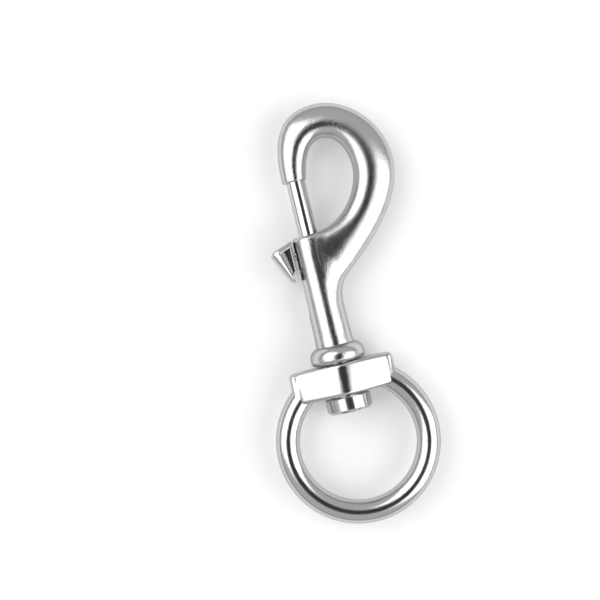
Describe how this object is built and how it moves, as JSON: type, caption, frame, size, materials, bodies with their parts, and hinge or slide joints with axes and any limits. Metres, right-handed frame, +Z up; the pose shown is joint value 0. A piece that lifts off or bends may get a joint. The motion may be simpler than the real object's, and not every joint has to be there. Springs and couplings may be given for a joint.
{
  "type": "swivel snap hook",
  "caption": "Cast snap hook with a sliding spring-loaded gate bolt, on a swivelling ring eye, for clipping a ring, rope or strap.",
  "frame": {"origin": "middle of the footprint, on the surface that the hook lies on", "axes": "+Y along the swivel axis towards the hook, +X towards the hook's belly, +Z up through the hook's thickness"},
  "size_m": [0.052, 0.1198, 0.0157],
  "materials": {
    "cast_steel": "cast stainless steel, vibratory polished to a satin gloss",
    "turned_steel": "turned stainless steel, bright",
    "spring_wire": "drawn stainless spring wire"
  },
  "bodies": {
    "hook": {"hook_body": "cast_steel", "swivel_pin": "turned_steel", "spring": "spring_wire"},
    "gate": {"bolt": "turned_steel", "thumb_knob": "cast_steel"},
    "eye": {"ring_eye": "cast_steel"}
  },
  "joints": [
    {"name": "gate_slide", "type": "slide", "parent": "hook", "child": "gate", "axis": [0, -1, 0], "range_m": [0, 0.016], "stiffness_N_per_m": 720, "springref_m": -0.007, "deforming": ["spring"]},
    {"name": "eye_swivel", "type": "hinge", "parent": "hook", "child": "eye", "pos_m": [-0.00255, -0.0179, 0.00785], "axis": [0, 1, 0], "continuous": true}
  ]
}
